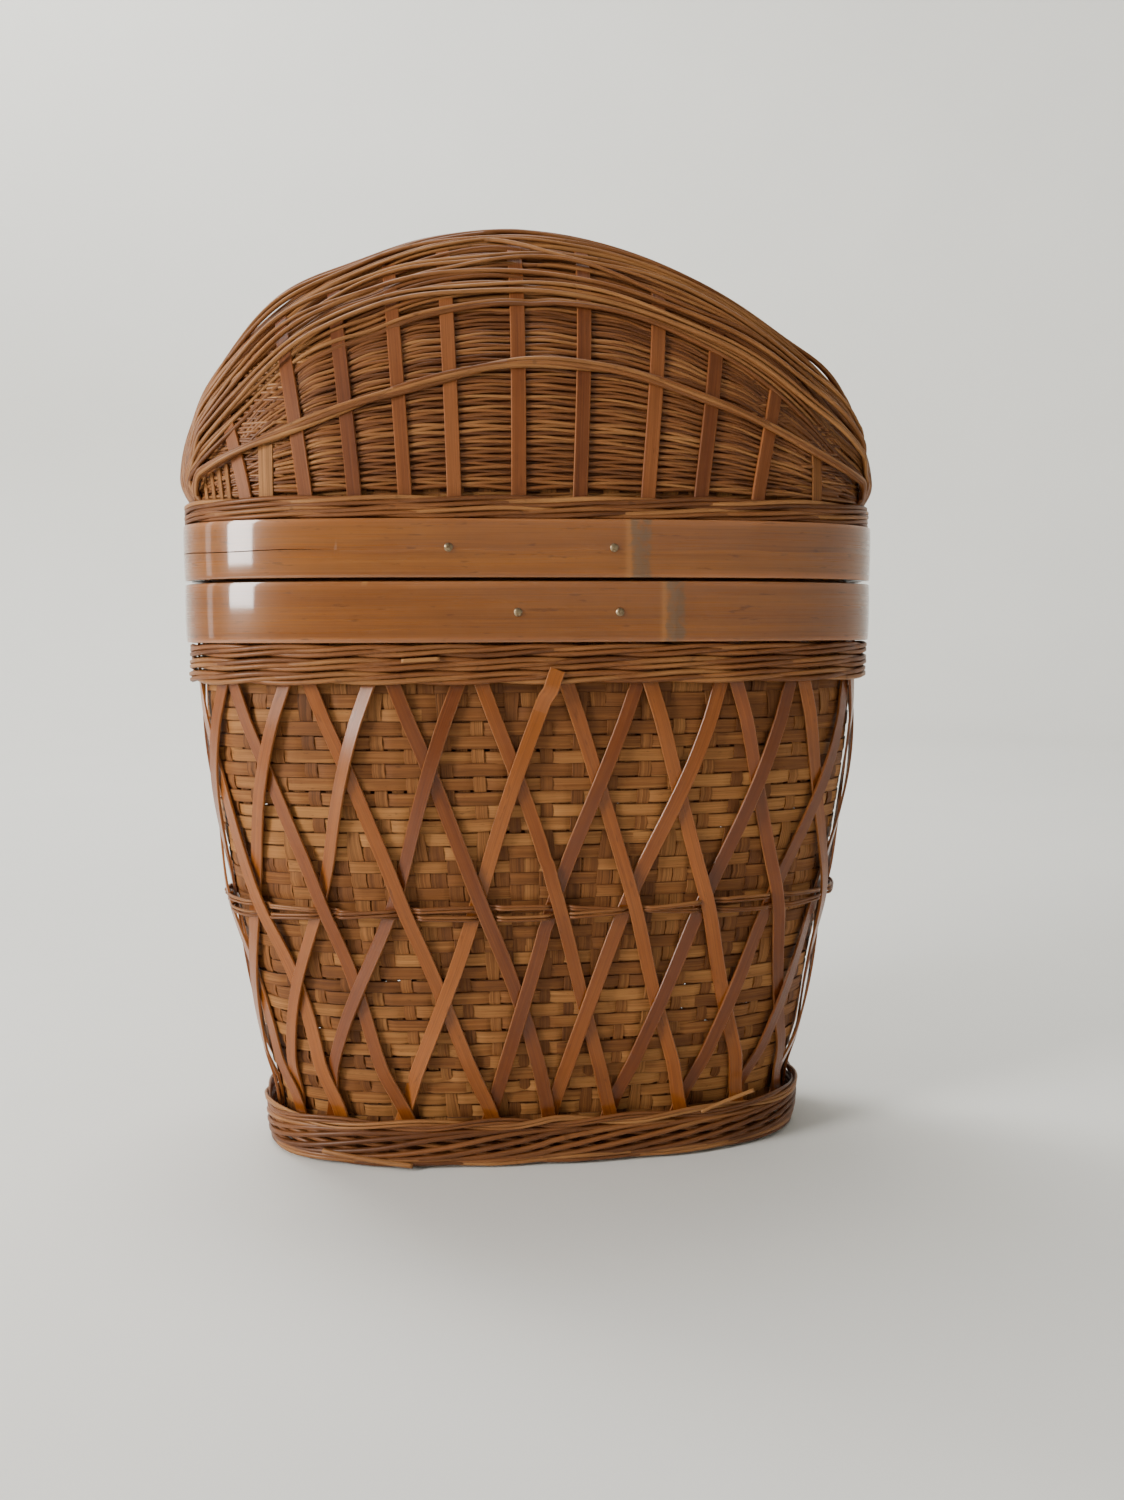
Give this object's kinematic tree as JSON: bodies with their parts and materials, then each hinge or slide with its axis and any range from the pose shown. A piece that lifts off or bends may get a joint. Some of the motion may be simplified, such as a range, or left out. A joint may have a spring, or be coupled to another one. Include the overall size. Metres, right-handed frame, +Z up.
{
  "type": "lidded wicker basket",
  "caption": "Oblong tapered wicker basket with a diagonal strip lattice over a woven wall, a split-bamboo rim hoop and a domed woven lift-off lid with a matching hoop.",
  "frame": {"origin": "middle of the footprint, on the surface that the basket stands on", "axes": "+X to the right along the long side, -Y the front with the nail heads, +Z up"},
  "size_m": [0.29, 0.1408, 0.386],
  "materials": {
    "split_weave": "pale split bamboo, satin, in a flat weave",
    "lattice_strip": "orange-brown bamboo strip with a glossy skin",
    "cane_weft": "brown round cane, satin",
    "hoop_bamboo": "varnished split bamboo band, glossy",
    "nail_metal": "dull domed nail head"
  },
  "bodies": {
    "basket": {"base_panel": "split_weave", "wall_weave": "split_weave", "foot_weft": "cane_weft", "waist_weft": "cane_weft", "shoulder_weft": "cane_weft", "body_hoop": "hoop_bamboo", "rim_collar": "split_weave", "body_nail_1": "nail_metal", "body_nail_2": "nail_metal", "lattice_right_01": "lattice_strip", "lattice_left_01": "lattice_strip", "lattice_right_02": "lattice_strip", "lattice_left_02": "lattice_strip", "lattice_right_03": "lattice_strip", "lattice_left_03": "lattice_strip", "lattice_right_04": "lattice_strip", "lattice_left_04": "lattice_strip", "lattice_right_05": "lattice_strip", "lattice_left_05": "lattice_strip", "lattice_right_06": "lattice_strip", "lattice_left_06": "lattice_strip", "lattice_right_07": "lattice_strip", "lattice_left_07": "lattice_strip", "lattice_right_08": "lattice_strip", "lattice_left_08": "lattice_strip", "lattice_right_09": "lattice_strip", "lattice_left_09": "lattice_strip", "lattice_right_10": "lattice_strip", "lattice_left_10": "lattice_strip", "lattice_right_11": "lattice_strip", "lattice_left_11": "lattice_strip", "lattice_right_12": "lattice_strip", "lattice_left_12": "lattice_strip", "lattice_right_13": "lattice_strip", "lattice_left_13": "lattice_strip", "lattice_right_14": "lattice_strip", "lattice_left_14": "lattice_strip", "lattice_right_15": "lattice_strip", "lattice_left_15": "lattice_strip", "lattice_right_16": "lattice_strip", "lattice_left_16": "lattice_strip", "lattice_right_17": "lattice_strip", "lattice_left_17": "lattice_strip", "lattice_right_18": "lattice_strip", "lattice_left_18": "lattice_strip", "lattice_right_19": "lattice_strip", "lattice_left_19": "lattice_strip", "lattice_right_20": "lattice_strip", "lattice_left_20": "lattice_strip", "lattice_right_21": "lattice_strip", "lattice_left_21": "lattice_strip", "lattice_right_22": "lattice_strip", "lattice_left_22": "lattice_strip"},
    "lid": {"lid_hoop": "hoop_bamboo", "lid_liner_hoop": "split_weave", "lid_skirt_weft": "cane_weft", "lid_weave": "cane_weft", "lid_rib_cage": "lattice_strip", "lid_nail_1": "nail_metal", "lid_nail_2": "nail_metal"}
  },
  "joints": [
    {"name": "lid_lift", "type": "slide", "parent": "basket", "child": "lid", "axis": [0, 0, 1], "range_m": [0, 0.2]}
  ]
}
